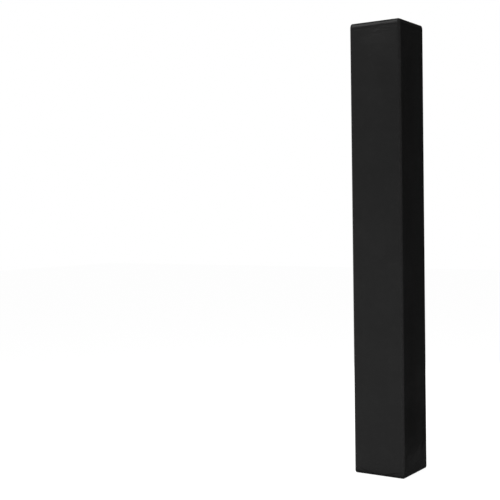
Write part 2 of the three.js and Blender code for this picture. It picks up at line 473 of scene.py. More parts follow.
vinylLook = {
    # crease: the share of the dark colour that is painted into the grain's creases as shade
    "dark": 0.010, "light": 0.013, "crease": 0.8, "roughness": 0.31, "roughSpread": 0.05, "specular": 0.095,
    "cells": 1000.0, "tooth": 0.25, "bump": 0.35, "depth": 0.00006,
    "dust": 0.25, "dustColour": 0.05, "dustWarm": 0.06, "rub": 0.35, "rubColour": 0.03, "rubRough": 0.12,
}
coverVinyl = vinylMaterial("coverVinyl", vinylLook)
endVinyl = vinylMaterial("endVinyl", {**vinylLook, "dust": 0.6, "roughness": 0.36, "cells": 900.0})
flapVinyl = vinylMaterial("flapVinyl", {**vinylLook, "dust": 0.35, "roughness": 0.34, "cells": 1050.0})


# Coated polyester lining: woven threads under a thin coat
def liningMaterial():
    look = {
        "warp": 0.016, "weft": 0.011, "coat": 0.02, "coatShare": 0.35, "threads": 1450.0,
        "dust": 0.5, "dustColour": 0.06, "dustWarm": 0.05, "bump": 0.6, "depth": 0.00012,
        "roughness": 0.62, "lowRoughness": 0.7, "patternGloss": -0.12, "specular": 0.25,
    }
    material, tree, place, use = startMaterial("coatedLining", look)
    weave = useGroup(tree, plainWeave, {"Vector": cutSize(tree), "Threads": look["threads"]})
    threads = mixColour(tree, weave["Warp"], grey(look["weft"]), grey(look["warp"]))
    coat = calc(tree, "MULTIPLY", use["Tone"], look["coatShare"])
    coated = mixColour(tree, coat, threads, grey(look["coat"]))
    endCloth(tree, look, coated, use, weave["Height"], weave["Height"])
    return material


# Closed-cell foam: small cells cut open at the surface, darker in their pits as painted shade, with a slow
# uneven tone over them
def foamMaterial():
    look = {
        "dark": 0.03, "light": 0.06, "tone": 0.05, "toneShare": 0.4, "cells": 900.0, "dust": 0.0,
        "roughness": 0.9, "pitGloss": -0.08, "specular": 0.2, "bump": 0.5, "depth": 0.0003,
    }
    material, tree, place, use = startMaterial("cutFoam", look)
    cells = put(tree, "TexVoronoi", {"Vector": place, "Scale": look["cells"]}).outputs["Distance"]
    pit = ranged(tree, cells, 0.1, 0.6)
    # Painted shade: the colour is darker as the pit goes deeper, by the same share that lowers the bump
    colour = mixColour(tree, pit, grey(look["dark"]), grey(look["light"]))
    tone = calc(tree, "MULTIPLY", use["Tone"], look["toneShare"])
    toned = mixColour(tree, tone, colour, grey(look["tone"]))
    rough = calc(tree, "MULTIPLY_ADD", pit, look["pitGloss"], look["roughness"])
    endMaterial(tree, look, toned, rough, pit)
    return material


# Tape with a woven edge; the pile is rows of stiff hooks, or a mat of loose loops. The pile is lighter where
# it stands high, and the darker weave colour shows in its low places as painted shade and on the woven edge.
def tapeMaterial(name, look):
    material, tree, place, use = startMaterial(name, look)
    cut = cutSize(tree)
    weave = useGroup(tree, plainWeave, {"Vector": cut, "Threads": look["threads"]})
    piled = put(tree, "Attribute", attribute_name="rub").outputs["Fac"]
    if "hooks" in look:
        rows = useGroup(tree, plainWeave, {"Vector": cut, "Threads": look["hooks"]})
        pile = ranged(tree, rows["Height"], 0.45, 0.95)
    else:
        mat = put(tree, "TexVoronoi", {"Vector": place, "Scale": look["loops"]}).outputs["Distance"]
        fuzz = put(tree, "TexNoise", {"Vector": place, **look["fuzz"]}).outputs["Fac"]
        pile = calc(tree, "MULTIPLY", ranged(tree, mat, 0.7, 0.1), fuzz)
    woven = calc(tree, "MULTIPLY", weave["Height"], calc(tree, "SUBTRACT", 1.0, piled))
    raised = calc(tree, "MULTIPLY", pile, piled)
    # Painted shade: where the pile is low, between hooks and loops, it takes the darker weave colour
    colour = mixColour(tree, raised, grey(look["weave"]), grey(look["pile"]))
    endCloth(tree, look, colour, use, pile, calc(tree, "ADD", raised, woven))
    return material


tapeLook = {
    "weave": 0.009, "threads": 1700.0, "dustColour": 0.12, "dustWarm": 0.04,
    "bump": 0.9, "patternGloss": -0.1,
}
hookLook = {
    **tapeLook, "pile": 0.016, "hooks": 1250.0, "dust": 0.9, "roughness": 0.55, "lowRoughness": 0.55,
    "specular": 0.3, "depth": 0.0004,
}
loopLook = {
    **tapeLook, "pile": 0.021, "loops": 2100.0, "fuzz": {"Scale": 3200.0, "Detail": 4.0, "Distortion": 1.5},
    "dust": 1.0, "roughness": 0.85, "lowRoughness": 0.85, "specular": 0.15, "depth": 0.0003,
}


# Bonded thread: two plies twisted round each other, by the sine of distance along plus turn round. The colour
# is lighter on each ply's crest and darker in the groove between them, as painted shade.
def threadMaterial():
    look = {
        "twist": 5200.0, "dark": 0.009, "light": 0.022, "dust": 0.4, "dustColour": 0.08, "dustWarm": 0.0,
        "roughness": 0.5, "lowRoughness": 0.58, "patternGloss": -0.1, "specular": 0.35,
        "bump": 0.6, "depth": 0.0001,
    }
    material, tree, place, use = startMaterial("bondedThread", look)
    axes = put(tree, "SeparateXYZ", {0: cutSize(tree)}).outputs
    turn = calc(tree, "MULTIPLY", axes["Y"], math.tau * 2)
    twist = calc(tree, "SINE", calc(tree, "MULTIPLY_ADD", axes["X"], look["twist"], turn))
    ply = ranged(tree, twist, -1.0, 0.6)
    # Painted shade: darker in the grooves between the plies, lighter on their crests
    colour = mixColour(tree, ply, grey(look["dark"]), grey(look["light"]))
    endCloth(tree, look, colour, use, ply, ply)
    return material


coatedLining = liningMaterial()
cutFoam = foamMaterial()
hookPile = tapeMaterial("hookPile", hookLook)
loopPile = tapeMaterial("loopPile", loopLook)
bondedThread = threadMaterial()
print("materials made")


# plan lines

# An arc's point is its centre plus the radius times (cos, sin) of an angle that runs evenly
def arcRun(across, start, end, steps):
    angle = np.linspace(start, end, steps + 1)
    ahead = spread(np.cos(angle), np.sin(angle))
    return np.array([across, pad["arcCentre"]]) + pad["corner"] * ahead, ahead


# The outline that a skin follows: points, the way each faces, and the way each slides as the end rolls in.
# A whole board runs fold, corner, face, corner, fold. A half board runs up the leaning closing edge, round
# it, along the face and round the corner to the fold.
def outline(half, cornerSteps, faceSteps):
    centre, lean, steps = pad["arcCentre"], pad["closingLean"], pad["edgeSteps"]
    tip = math.pi / 4 + math.asin(pad["foldRoom"] / pad["corner"])
    corner, cornerFacing = arcRun(centre, math.pi / 2, tip, cornerSteps)
    start = pad["closingGap"] + pad["corner"] if half else -centre
    face = spread(np.linspace(start, centre, (faceSteps // 2 if half else faceSteps) + 1)[1:-1], pad["face"])
    faceFacing = np.tile([0.0, 1.0], (len(face), 1))
    if not half:
        points = np.concatenate([corner[::-1] * [-1, 1], face, corner])
        facings = np.concatenate([cornerFacing[::-1] * [-1, 1], faceFacing, cornerFacing])
        return points, facings, facings
    closing, closingFacing = arcRun(start, math.pi + lean, math.pi / 2, cornerSteps)
    rise = np.linspace(pad["channel"], closing[0, 1], steps + 1)[:-1]
    edge = spread(closing[0, 0] + (closing[0, 1] - rise) * math.tan(lean), rise)
    share = np.linspace(0, 1, steps + 1)[:-1, None]
    edgeSlide = closingFacing[0] * share + np.array([-1 / math.cos(lean), 0.0]) * (1 - share)
    rest = [closingFacing, faceFacing, cornerFacing]
    facings = np.concatenate([np.tile(closingFacing[0], (steps, 1))] + rest)
    return np.concatenate([edge, closing, face, corner]), facings, np.concatenate([edgeSlide] + rest)


# The outline without the closing edge, for what spans from there to the channel in one straight line
def outerOutline(half, cornerSteps, faceSteps):
    return [part[pad["edgeSteps"] if half else 0:] for part in outline(half, cornerSteps, faceSteps)]


# Where the leaning closing edge, drawn in by an inset, stands at a distance out from the post
def closingAt(inset, out):
    lean, radius = pad["closingLean"], pad["corner"] - inset
    startAcross = pad["closingGap"] + pad["corner"] - radius * math.cos(lean)
    startOut = pad["arcCentre"] - radius * math.sin(lean)
    return startAcross + (startOut - out) * math.tan(lean)


# A board's straight line at a distance out: share s of the way from its left end, -right or the closing edge
def acrossAt(board, inset, out, right, share):
    left = closingAt(inset, out) if board["half"] else np.full_like(inset, -right)
    return left[..., None] * (1 - share) + right * share


# One end of a skin, measured in from that end: a quarter ellipse, then fine steps that grow towards the
# middle. At angle a of the ellipse the height is roll (1 + sin a), the inset is tuck (1 - cos a), and the
# skin's tilt is the angle whose tangent is tuck sin a / (roll cos a).
def endLines(end, rollSteps, endZone, endStep, midStep, growth):
    roll, tuck = end["roll"], end["tuck"]
    angle = np.linspace(-math.pi / 2, 0, rollSteps + 1)
    heights, step = [roll], endStep
    while heights[-1] < pad["height"] / 2:
        if heights[-1] > endZone:
            step = min(step * growth, midStep)
        heights.append(heights[-1] + step)
    heights = np.array(heights[1:])
    heights = roll + (heights - roll) * (pad["height"] / 2 - roll) / (heights[-1] - roll)
    height = np.concatenate([roll * (1 + np.sin(angle)), heights])
    angle = np.concatenate([angle, np.zeros(len(heights))])
    return height, tuck * (1 - np.cos(angle)), np.arctan2(tuck * np.sin(angle), roll * np.cos(angle))


# Heights, insets and tilts up a whole skin: the bottom's lines, then the top's turned over
def upLines(**steps):
    height, inset, tilt = endLines(pad["bottom"], **steps)
    fromTop, topInset, topTilt = [part[-2::-1] for part in endLines(pad["top"], **steps)]
    height = np.concatenate([height, pad["height"] - fromTop])
    return height, np.concatenate([inset, topInset]), np.concatenate([tilt, -topTilt])


# The same lines for what lies under the skin, moved in by its depth along its tilt
def drawnIn(up):
    height, inset, tilt = up
    return height - pad["depth"] * np.sin(tilt), inset + pad["depth"] * np.cos(tilt), tilt


# Distance up the skin from the nearer sewn end, and from the lower end
def fromEnd(up):
    line = travelled(spread(up[1], up[0]))
    return np.minimum(line, line[-1] - line), line


# A point of the skin is the outline point slid in by the roll's inset, raised to its height, and lifted
# along its facing, which tips over with the roll: (facing cos tilt, sin tilt)
def skinGrid(plan, up, lift):
    points, facings, slides = plan
    height, inset, tilt = [part[:, None] for part in up]
    flat = points[None] - inset[..., None] * slides[None]
    lean = np.cos(tilt)[..., None] * facings[None]
    out = spread(lean[..., 0], lean[..., 1], np.sin(tilt))
    return spread(flat[..., 0], flat[..., 1], height) + out * np.asarray(lift)[..., None], out


# A solid between two local grids, turned to its wall and placed under the board's name and its own
def boardPiece(name, label, grids, uv, material, node):
    front, back = [turned(grid, boards[name]) for grid in grids]
    mesh = solidBetween(name + label, front, back, uv)
    return placePiece(name + label, mesh, name, material, [name + node])


# skins

skin = {
    "cornerSteps": 8, "faceStep": 0.0021,
    "up": {"rollSteps": 10, "endZone": 0.05, "endStep": 0.0016, "midStep": 0.012, "growth": 1.07},
    "seamDip": 0.0006, "seamReach": 0.0035,  # the skin sinks a little into its sewn end
    "ripple": 0.00022, "rippleSize": 0.085,  # slow unevenness of the foam under it
    "rippleFade": 0.02,  # how far from an end it takes to show
    "finer": (2.3, 1.7), "finerShare": 0.5, "finerSeed": 100,  # a second, finer ripple over the first
    "holdReach": 0.014, "holdShare": 0.7,  # nothing lifts this near a fold
    "closureReach": 0.066, "closureFade": 0.02,  # nor under the flap and its tapes
    "innerFoot": 0.0004,  # least height of the inner face
    "rubCorner": 0.5, "rubRoll": 0.6,  # how far the surface turns before the rub is full
}
skin["faceSteps"] = round(2 * pad["arcCentre"] / skin["faceStep"])
skin["lines"] = upLines(**skin["up"])

settle = {
    "frames": 14, "sewFrames": 6, "quality": 4, "mass": 0.02, "stiff": 30.0, "bend": 0.002, "damp": 6.0,
    "pressure": 1.2, "slack": 0.013, "slackReach": 0.030, "gather": 0.004, "gatherReach": 0.020,
    "uneven": 0.5, "unevenSize": 0.03,
    "weights": 10, "firm": 0.99,  # steps from free to held, and what counts as held
    "zone": 0.15, "fade": 0.06,  # how far from an end the cloth is worked out, and its run-out
    "sewnReach": 0.004, "zoneHold": 0.02,  # how soon it is free past the seam, and held before the zone's end
    "press": 0.00028, "cap": 0.0022,  # least and most that it may stand off the foam
    "share": {"bottom": 1.25, "top": 0.6}, "seed": {"bottom": 300, "top": 200},
}


# Blender's cloth on the bare grid. It starts at the size that it was cut to, a little too long, and where it
# is sewn it is brought to the size of the foam, so that the rest swells and buckles. Returns how far each
# point then stands out along its facing, evened once by the 1 2 1 rule and held between press and cap.
def settleCloth(grid, out, held, cut):
    quads = gridQuads(*grid.shape[:2])
    if np.sum(facing(grid) * out) < 0:
        quads = quads[:, ::-1]
    mesh = makeMesh("trial", cut.reshape(-1, 3), [quads])
    trial = addObject("trial", mesh)
    trial.shape_key_add(name="cut")
    sewn = trial.shape_key_add(name="sewn")
    sewn.data.foreach_set("co", grid.astype(np.float32).ravel())
    for share, frameNumber in ((0, 1), (1, settle["sewFrames"])):
        sewn.value = share
        sewn.keyframe_insert("value", frame=frameNumber)
    group, steps = trial.vertex_groups.new(name="sewn"), settle["weights"]
    level = np.round(held.ravel() * steps).astype(int)
    for step in range(1, steps + 1):
        group.add(np.flatnonzero(level == step).tolist(), step / steps, "REPLACE")
    given = trial.modifiers.new("settle", "CLOTH").settings
    given.vertex_group_mass = "sewn"
    given.quality, given.mass = settle["quality"], settle["mass"]
    given.tension_stiffness = given.compression_stiffness = given.shear_stiffness = settle["stiff"]
    given.tension_damping = given.compression_damping = given.shear_damping = settle["damp"]
    given.bending_stiffness = settle["bend"]
    given.use_pressure, given.uniform_pressure_force = True, settle["pressure"]
    given.effector_weights.gravity = 0
    for frameNumber in range(1, settle["frames"] + 1):
        bpy.context.scene.frame_set(frameNumber)
    settled = trial.evaluated_get(bpy.context.evaluated_depsgraph_get()).to_mesh()
    moved = np.zeros(grid.size, np.float32)
    settled.vertices.foreach_get("co", moved)
    rise = np.sum((moved.reshape(grid.shape) - grid) * out, axis=2)
    bpy.data.objects.remove(trial)
    bpy.data.meshes.remove(mesh)
    bpy.context.scene.frame_set(1)
    for axis in (0, 1):
        ahead, behind = np.roll(rise, -1, axis), np.roll(rise, 1, axis)
        rise = np.where(held > settle["firm"], rise, (ahead + 2 * rise + behind) / 4)
    rise = np.where(rise < 0, settle["press"] * np.tanh(rise / settle["press"]), rise)
    return np.minimum(rise, settle["cap"])


# The vinyl is cut longer than the foam near its sewn end: each step up the grid grows by the slack times
# exp(-(end / reach)^2), unevenly along the seam, and each row is gathered by a like share across
def cutLonger(grid, end, seed):
    along, size = travelled(grid[len(grid) // 2]), settle["unevenSize"]
    uneven = 1 + settle["uneven"] * softNoise(along[None] / size, end[:, None] / size, seed)
    extra = settle["slack"] * fade(end, settle["slackReach"])[:, None] * uneven
    steps = np.diff(grid, axis=0) * (1 + (extra[1:] + extra[:-1]) / 2)[..., None]
    cut = np.concatenate([grid[:1], grid[:1] + np.cumsum(steps, axis=0)])
    cut[..., 0] *= 1 + settle["gather"] * fade(end, settle["gatherReach"])[:, None]
    return cut


# The settled lift of both ends of a skin, run out to nothing where the zone ends
def settleEnds(plan, up, lift, board):
    rise = np.zeros_like(lift)
    end = fromEnd(up)[0]
    grid, out = skinGrid(plan, up, lift)
    middle = int(np.argmax(end))
    for where, rows in (("bottom", np.arange(middle)), ("top", np.arange(len(end) - 1, middle, -1))):
        rows = rows[end[rows] < settle["zone"]]
        near = end[rows]
        free = freeAcross(plan, board["half"])[None] * smooth(near / settle["sewnReach"])[:, None]
        free = free * smooth((near[-1] - near) / settle["zoneHold"])[:, None]
        cut = cutLonger(grid[rows], near, board["seed"] + settle["seed"][where])
        settled = settleCloth(grid[rows], out[rows], 1 - free, cut)
        runOut = smooth((settle["zone"] - near) / settle["fade"])
        rise[rows] = settle["share"][where] * settled * runOut[:, None]
    return rise


# Share of free movement across a board: none at a fold, and none under the closure on a half board
def freeAcross(plan, half):
    across = plan[0][:, 0]
    fromFold = pad["arcCentre"] + pad["corner"] * skin["holdShare"] - np.abs(across)
    free = smooth(fromFold / skin["holdReach"])
    return free * smooth((across - skin["closureReach"]) / skin["closureFade"]) if half else free


# Raised cosine across the face times sin squared of the way in from an end, as the solid's crown has it
def crownLift(plan, up, half):
    if half:
        return 0.0
    across = np.clip(plan[0][:, 0] / pad["arcCentre"], -1, 1)
    rise = (1 + np.cos(math.pi * across)) / 2
    end = np.minimum(up[0] - pad["bottom"]["roll"], pad["height"] - up[0] - pad["top"]["roll"])
    swell = np.sin(np.clip(end / pad["crownFade"], 0, 1) * math.pi / 2) ** 2
    return pad["crown"] * swell[:, None] * rise[None]


# Crown, seam dip and slow ripple added together; the ripple is two sizes of soft noise
def skinLift(plan, up, board):
    end, line = fromEnd(up)
    x, y = travelled(plan[0])[None] / skin["rippleSize"], line[:, None] / skin["rippleSize"]
    finer = softNoise(skin["finer"][0] * x, skin["finer"][1] * y, board["seed"] + skin["finerSeed"])
    wave = softNoise(x, y, board["seed"]) + skin["finerShare"] * finer
    free = freeAcross(plan, board["half"])[None] * smooth(end / skin["rippleFade"])[:, None]
    dip = -skin["seamDip"] * fade(end, skin["seamReach"])
    return crownLift(plan, up, board["half"]) + skin["ripple"] * wave * free + dip[:, None]


# Rub is highest where the surface turns: on the corner arcs and on the rolled ends
def rubAmount(plan, up):
    corner = smooth(np.abs(plan[1][:, 0]) / skin["rubCorner"])
    roll = smooth(np.abs(np.sin(up[2])) / skin["rubRoll"])
    return np.maximum(corner[None], roll[:, None])


# The skin's outer face is its grid at its lift, and the inner face lies the vinyl's thickness under it
def buildSkin(name, board):
    up, plan = skin["lines"], outline(board["half"], skin["cornerSteps"], skin["faceSteps"])
    lift = skinLift(plan, up, board)
    lift = lift + settleEnds(plan, up, lift, board)
    outer, out = skinGrid(plan, up, lift)
    outward = facing(outer)
    outward *= np.sign(np.sum(outward * out, axis=2, keepdims=True))
    for fold in (-1,) if board["half"] else (0, -1):
        outward[:, fold] = out[:, fold]
    inner = outer - pad["vinyl"] * out
    outer[..., 2] = np.maximum(outer[..., 2], 0.0)
    inner[..., 2] = np.maximum(inner[..., 2], skin["innerFoot"])
    along, line = travelled(plan[0]), fromEnd(up)[1]
    uv = spread(along[None], line[:, None])
    piece = boardPiece(name, "_skin", (outer, inner), uv, coverVinyl, "_cover")
    shadeByFacing(piece.data, turned(outward, board, 0.0))
    giveRub(piece.data, rubAmount(plan, up))


# foam boards

foam = {
    "cornerSteps": 6, "faceSteps": 24, "cornerRoom": 0.0001, "fill": 0.95,
    "up": {"rollSteps": 4, "endZone": 0.05, "endStep": 0.02, "midStep": 0.06, "growth": 1.3},
}


# The block between the outline drawn in by the skin's depth and a straight line beside the lining
def buildFoam(name, board):
    plan = outerOutline(board["half"], foam["cornerSteps"], foam["faceSteps"])
    up = upLines(**foam["up"])
    height, inset, tilt = drawnIn(up)
    outer = skinGrid(plan, (height, inset, tilt), crownLift(plan, up, board["half"]))[0]
    near = pad["channel"] + pad["lining"] + pad["seat"]
    setback = (pad["lining"] + 2 * pad["seat"]) * math.sqrt(2)
    outer[..., 0] = np.clip(outer[..., 0], setback - outer[..., 1], outer[..., 1] - setback)
    right, share = near - setback - foam["cornerRoom"], np.linspace(0, 1, outer.shape[1])
    back = spread(acrossAt(board, inset, near, right, share), near, height[:, None])
    uv = spread(travelled(plan[0])[None], up[0][:, None])
    piece = boardPiece(name, "_foamBoard", (outer, back), uv, cutFoam, "_foam")


# linings

liningCut = {
    "bend": 0.002, "bendSteps": 4, "bendSharp": 1.5,  # the turn from the channel's face into a mitre
    "legSteps": 8, "tipRoom": 0.0004, "mitreRoom": 0.00015,
    "faceSteps": 30, "wave": 0.00035, "waveSize": 0.06, "waveFade": 0.03, "seed": 7,
    "slackTo": 1.02, "slackFade": 0.012,  # the face is slack to this share of the channel
    "outward": 0.2,  # a facing that points out by more than this is turned round
    "up": {"rollSteps": 4, "endZone": 0.05, "endStep": 0.012, "midStep": 0.04, "growth": 1.2},
}


# The lining's path from tip to tip: down one mitre, across the channel's face and up the other mitre.
# Each share of the way along a leg is the straight line from the channel's corner to the leg's tip. The
# face sags by soft noise between 0 and 1.
def buildLining(name, board):
    cut, corner, bend = liningCut, pad["channel"], liningCut["bend"]
    height, drawn, tilt = drawnIn(upLines(**cut["up"]))
    rows, setback = len(height), cut["mitreRoom"] * math.sqrt(2)
    tip = pad["arcCentre"] + (pad["corner"] - drawn) * math.sqrt(0.5) - cut["tipRoom"]
    legStart = corner + bend * math.sqrt(0.5)
    legOut = legStart + (tip[:, None] - legStart) * np.linspace(0, 1, cut["legSteps"] + 1)[1:]
    step = np.linspace(0, 1, cut["bendSteps"] + 1)
    bendAcross = (corner - bend) + (legStart - setback - corner + bend) * step
    bendOut = corner + (legStart - corner) * smooth(step) ** cut["bendSharp"]
    share = np.linspace(0, 1, cut["faceSteps"] + 1)[:-1]
    faceAcross = acrossAt(board, drawn, corner, corner - bend, share)
    across = np.concatenate([faceAcross, np.tile(bendAcross, (rows, 1)), legOut - setback], 1)
    out = np.concatenate([np.full_like(faceAcross, corner), np.tile(bendOut, (rows, 1)), legOut], 1)
    if not board["half"]:
        turn = slice(None, len(share), -1)
        across = np.concatenate([-across[:, turn], across], 1)
        out = np.concatenate([out[:, turn], out], 1)
    outer = spread(across, out, height[:, None])
    side = facing(outer)
    side *= np.where(side[..., 1:2] > cut["outward"], -1, 1)  # now all point into the channel or a mitre
    line = travelled(outer[rows // 2])
    x, y = line[None] / cut["waveSize"], height[:, None] / cut["waveSize"]
    slack = 0.5 + 0.5 * softNoise(x, y, board["seed"] + cut["seed"])
    slack = slack * smooth(np.minimum(height, pad["height"] - height) / cut["waveFade"])[:, None]
    loose = smooth((corner * cut["slackTo"] - np.abs(across)) / cut["slackFade"]) * (out <= corner)
    outer[..., 1] += cut["wave"] * slack * loose
    inner = outer.copy()
    inner[..., :2] -= pad["lining"] * side[..., :2]
    uv = spread(line[None], height[:, None])
    piece = boardPiece(name, "_liningCloth", (outer, inner), uv, coatedLining, "_lining")


# end panels

endPiece = {
    "cornerSteps": 5, "faceSteps": 48, "deepSteps": 16,
    "seamRoom": 0.0001, "channelRoom": 0.00005,
    "pillow": 0.0011, "pillowSharp": 0.7, "pillowFade": 0.025,  # its fade is along the seam from a fold
    "edgeDip": 0.0007, "edgeReach": 0.004, "rubReach": 0.003,
    "pucker": 0.00025, "puckerSize": 0.011, "puckerReach": 0.012, "puckerStart": 0.003, "puckerFade": 0.01,
    "puckerRows": 3, "puckerSeed": 50,  # how often the pucker changes from the channel to the seam
    "footShare": 0.1,  # the pad's weight flattens the foot
}


# A ruled patch: share q of the way from the straight edge at the channel to the outline at the seam. Its
# height is the end's plus a pillow of sin(pi q), less a dip that dies away from every edge.
def buildEnd(name, board, where):
    cut, top = endPiece, where == "top"
    points, facings, slides = outerOutline(board["half"], cut["cornerSteps"], cut["faceSteps"])
    inset, right = np.array(pad[where]["tuck"] + cut["seamRoom"]), pad["channel"] - cut["channelRoom"]
    outer = points - inset * slides
    near = acrossAt(board, inset, pad["channel"], right, np.linspace(0, 1, len(points)))
    near = spread(near, pad["channel"])
    q = np.linspace(0, 1, cut["deepSteps"] + 1)[:, None]
    q = (q + smooth(q)) / 2
    flat = near[None] * (1 - q[..., None]) + outer[None] * q[..., None]
    width, line = float(np.mean(np.linalg.norm(outer - near, axis=1))), travelled(outer)
    fromSeam, fromChannel, side = (1 - q) * width, q * width, np.minimum(line, line[::-1])[None]
    nearest = np.minimum(np.minimum(fromSeam, fromChannel), side)
    body = np.sin(math.pi * q) ** cut["pillowSharp"] * smooth(side / cut["pillowFade"])
    x, y = line[None] / cut["puckerSize"], cut["puckerRows"] * q
    gather = softNoise(x, y, board["seed"] + cut["puckerSeed"])
    ruck = cut["pucker"] * gather * fade(fromSeam, cut["puckerReach"]) * smooth(fromSeam / cut["puckerStart"])
    dip = cut["edgeDip"] * fade(nearest, cut["edgeReach"])
    swell = cut["pillow"] * body + ruck * smooth(side / cut["puckerFade"]) - dip
    height = pad["height"] + swell if top else np.maximum(-cut["footShare"] * swell, 0.0)
    under = height - pad["vinyl"] if top else height + pad["vinyl"]
    grids = [spread(flat[..., 0], flat[..., 1], up) for up in (height, under)]
    uv = spread(line[None], fromChannel)
    piece = boardPiece(name, f"_{where}End", grids, uv, endVinyl, f"_{where}_panel")
    giveRub(piece.data, fade(nearest, cut["rubReach"]))


for boardName, boardSpec in boards.items():
    buildFoam(boardName, boardSpec)
    buildSkin(boardName, boardSpec)
    buildLining(boardName, boardSpec)
    buildEnd(boardName, boardSpec, "top")
    buildEnd(boardName, boardSpec, "bottom")
    print("board sewn:", boardName)


# closure

# A size from the frame, to the micrometre
def measured(size):
    return round(size, 6)


flapLow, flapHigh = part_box("closure_flap")
hookLow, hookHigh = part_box("hook_strip")

# All distances out are to the sheet's middle
closure = {
    "reach": measured(flapHigh.x), "marginWidth": measured(-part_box("flap_margin")[0].x), "ramp": 0.008,
    "endInset": measured(flapLow.z),
    "marginMiddle": pad["face"] + pad["seat"] + pad["vinyl"] / 2,
    "flapMiddle": pad["face"] + measured(flapHigh.y - postY - pad["face"] - pad["vinyl"] / 2),
    "across": (8, 8, 30), "step": 0.008,  # steps over the margin, the ramp and the flap, and up it
    "hem": 0.009, "hemRise": 0.0003, "hemFade": 0.002,
    "sag": 0.0019, "sagReach": 0.028, "sagFrom": 0.004, "sagFade": 0.014,
    "wave": 0.0004, "waveSize": 0.045, "waveFrom": 0.045, "waveFade": 0.017, "wavePast": 0.7, "waveSeed": 77,
    "endZone": 0.05, "endSteps": 18,  # finer steps near both ends, for the tapes too
    "rim": (4, 1.0), "rubReach": 0.003,
}


# Height above the flap's nearer end
def fromFlapEnd(z):
    return np.minimum(z - closure["endInset"], pad["height"] - closure["endInset"] - z)


# The flap's distance out: level on its margin, a smooth climb over the ramp, level over the tapes, a sag
# past the tapes' ends, a slight wave along the free edge
def flapOutAt(x, z):
    climb = smooth(x / closure["ramp"])
    out = closure["marginMiddle"] + (closure["flapMiddle"] - closure["marginMiddle"]) * climb
    past = 1 - smooth(fromFlapEnd(z) / closure["sagReach"])
    edge = smooth((x - closure["waveFrom"]) / closure["waveFade"])
    wave = closure["wave"] * softNoise(z / closure["waveSize"], 0 * z, closure["waveSeed"]) * edge
    sag = closure["sag"] * past * smooth((x - closure["sagFrom"]) / closure["sagFade"])
    return out - sag + wave * (1 - closure["wavePast"] * past)


# Extra height of the turned hem near the three free edges
def hemAt(x, z):
    nearest, soft = np.minimum(fromFlapEnd(z), closure["reach"] - x), closure["hemFade"]
    return closure["hemRise"] * (1 - smooth((nearest - closure["hem"] + soft / 2) / soft))


# Points on the back, from their distance out from the post's axis
def backWall(x, out, z):
    return spread(x, out + postY, z)


# Even steps between each stop and the next
def runs(stops, steps):
    parts = [np.linspace(low, high, count + 1)[:-1] for low, high, count in zip(stops, stops[1:], steps)]
    return np.concatenate(parts + [stops[-1:]])


# Heights up a piece that stops short of both ends of the pad by the inset
def closureHeights(step, inset):
    span, zone = pad["height"] - 2 * inset, closure["endZone"]
    ends = np.linspace(0, zone, closure["endSteps"] + 1)
    middle = np.arange(zone + step, span - zone - step / 2, step)
    return inset + np.concatenate([ends, middle, span - ends[::-1]])


# Two faces, half the vinyl's thickness either side of the flap's distance out, the outer one with a hem
def buildFlap():
    x = runs([-closure["marginWidth"], 0, closure["ramp"], closure["reach"]], closure["across"])
    z = closureHeights(closure["step"], closure["endInset"])
    across, up = np.meshgrid(x, z)
    out, half = flapOutAt(across, up), pad["vinyl"] / 2
    outer, inner = backWall(across, out + half + hemAt(across, up), up), backWall(across, out - half, up)
    line = travelled(spread(x, flapOutAt(x, np.ones_like(x))))
    mesh = solidBetween("closureFlap", outer, inner, spread(line[None], z[:, None]), *closure["rim"])
    edge = np.minimum(np.minimum(across + closure["marginWidth"], closure["reach"] - across), fromFlapEnd(up))
    giveRub(mesh, fade(edge, closure["rubReach"]))
    piece = placePiece("closureFlap", mesh, None, flapVinyl, ["closure_flap", "flap_margin"])
    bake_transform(piece)


tape = {
    "left": measured(hookLow.x), "right": measured(hookHigh.x), "endInset": measured(hookLow.z),
    "edge": 0.006, "across": (8, 16, 8), "step": 0.012,
    "room": 0.00005,  # between a tape and what it is sewn to
    "selvage": 0.0035, "selvageThick": 0.0006, "pileFade": 0.002,
    "fuzz": 0.0001, "fuzzSize": 0.006, "fuzzSeed": 61, "rim": (3, 0.6),
}
# How far out the sewn faces of the two tapes lie; their piles meet with a seat's room between
tape["loopBase"] = pad["face"] + tape["room"]
tape["hookBase"] = closure["flapMiddle"] - pad["vinyl"] / 2 - tape["room"]
tape["thick"] = (tape["hookBase"] - tape["loopBase"] - pad["seat"]) / 2


# A tape is a thin woven edge either side of a raised pile with a little fuzz; side is 1 where the pile faces
# out, -1 where it faces in
def buildTape(name, body, base, side, material, node):
    left, right, edge, soft = tape["left"], tape["right"], tape["edge"], tape["pileFade"]
    x = runs([left, left + edge, right - edge, right], tape["across"])
    z = closureHeights(tape["step"], tape["endInset"])
    across, up = np.meshgrid(x, z)
    piled = smooth((np.minimum(across - left, right - across) - tape["selvage"] + soft / 2) / soft)
    grain = softNoise(across / tape["fuzzSize"], up / tape["fuzzSize"], tape["fuzzSeed"])
    fuzz = tape["fuzz"] * grain * piled
    rise = tape["selvageThick"] + (tape["thick"] - tape["selvageThick"]) * piled - np.abs(fuzz)
    face, rear = backWall(across, base + side * rise, up), backWall(across, base, up)
    mesh = solidBetween(name, face, rear, spread(across, up), *tape["rim"])
    giveRub(mesh, piled)
    piece = placePiece(name, mesh, body, material, [node])


buildFlap()
buildTape("loopTape", "right_back", tape["loopBase"], 1, loopPile, "loop_strip")
buildTape("hookTape", "flap", tape["hookBase"], -1, hookPile, "hook_strip")
print("closure sewn")


# thread

thread = {
    "pitch": 0.0052, "length": 0.0036, "radius": 0.00032, "rise": 0.00022, "sides": 6, "rings": 5,
    "tip": 0.02, "skew": 0.05, "jitter": 0.00008, "lineSteps": 400, "headingReach": 0.001,
    "fromEnd": 0.004, "fromTapeEnd": 0.002,
    "fromTapeEdge": 0.0018, "marginRows": (0.0035, 0.012),  # the margin's rows are measured from the ramp
}


